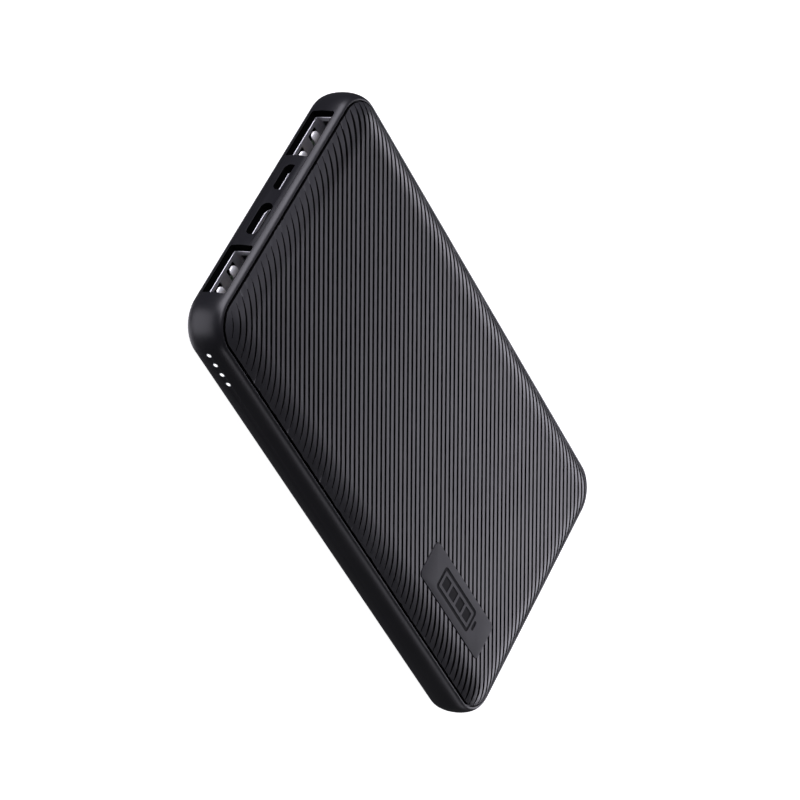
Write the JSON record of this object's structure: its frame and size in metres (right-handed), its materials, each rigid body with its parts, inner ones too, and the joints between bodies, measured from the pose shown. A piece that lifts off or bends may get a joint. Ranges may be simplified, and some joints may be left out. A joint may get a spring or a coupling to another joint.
{
  "type": "power bank",
  "caption": "Slim rounded power bank with fine diagonal ridges, USB sockets in one end, side charge lights and a side button.",
  "frame": {"origin": "centre of the flat back face that the power bank lies on, with the ridged front cover up", "axes": "+X to the side with the charge lights, -Y to the end with the sockets, +Z out of the front cover"},
  "size_m": [0.072, 0.136, 0.0135],
  "materials": {
    "satin_plastic": "satin moulded",
    "ridged_plastic": "fine diagonal ridges, satin",
    "badge": "satin grey inlay",
    "steel": "plated sheet steel",
    "gold_contact": "gold plated",
    "socket_plastic": "moulded black",
    "circuit_board": "green solder mask",
    "chip": "epoxy package",
    "ceramic": "ceramic with tinned ends",
    "ferrite": "pressed iron powder",
    "clear_plastic": "clear moulded light guide",
    "led": "white LED",
    "pouch": "aluminium laminate pouch",
    "nickel": "nickel strip",
    "foam": "closed-cell foam",
    "tape": "double-sided tape",
    "switch_plunger": "moulded white",
    "insulation_paper": "fish paper",
    "red_insulation": "silicone",
    "black_insulation": "silicone"
  },
  "bodies": {
    "case": {"mid_frame": "satin_plastic", "front_cover": "ridged_plastic", "back_cover": "ridged_plastic", "badge_plate": "badge", "usb_c_shell": "steel", "usb_c_tongue": "socket_plastic", "micro_usb_shell": "steel", "micro_usb_tongue": "socket_plastic", "circuit_board": "circuit_board", "power_inductor": "ferrite", "charge_controller": "chip", "output_converter": "chip", "protection_chip": "chip", "thermistor": "ceramic", "light_guide": "clear_plastic", "switch_housing": "chip", "cell_lower": "pouch", "cell_upper": "pouch", "cell_tape": "tape", "foam_pad_front": "foam", "foam_pad_back": "foam", "insulation_sheet": "insulation_paper", "positive_lead": "red_insulation", "negative_lead": "black_insulation", "usb_a_1_shell": "steel", "usb_a_1_insulator": "socket_plastic", "board_screw_1": "steel", "usb_a_1_contact_1": "gold_contact", "usb_a_1_contact_2": "gold_contact", "usb_a_1_contact_3": "gold_contact", "usb_a_1_contact_4": "gold_contact", "usb_a_2_shell": "steel", "usb_a_2_insulator": "socket_plastic", "board_screw_2": "steel", "usb_a_2_contact_1": "gold_contact", "usb_a_2_contact_2": "gold_contact", "usb_a_2_contact_3": "gold_contact", "usb_a_2_contact_4": "gold_contact", "capacitor_1": "ceramic", "indicator_led_1": "led", "capacitor_2": "ceramic", "indicator_led_2": "led", "capacitor_3": "ceramic", "indicator_led_3": "led", "capacitor_4": "ceramic", "indicator_led_4": "led", "cell_lower_positive_tab": "nickel", "cell_lower_negative_tab": "nickel", "cell_upper_positive_tab": "nickel", "cell_upper_negative_tab": "nickel"},
    "button": {"power_button": "satin_plastic"},
    "switch_plunger_body": {"switch_plunger": "switch_plunger"}
  },
  "joints": [
    {"name": "button_press", "type": "slide", "parent": "case", "child": "button", "axis": [1, 0, 0], "range_m": [0, 0.0003], "stiffness_N_per_m": 400},
    {"name": "plunger_travel", "type": "slide", "parent": "case", "child": "switch_plunger_body", "axis": [1, 0, 0], "range_m": [0, 0.0003]}
  ],
  "couplings": [
    {"joint": "plunger_travel", "follows": "button_press", "ratio": 1}
  ]
}
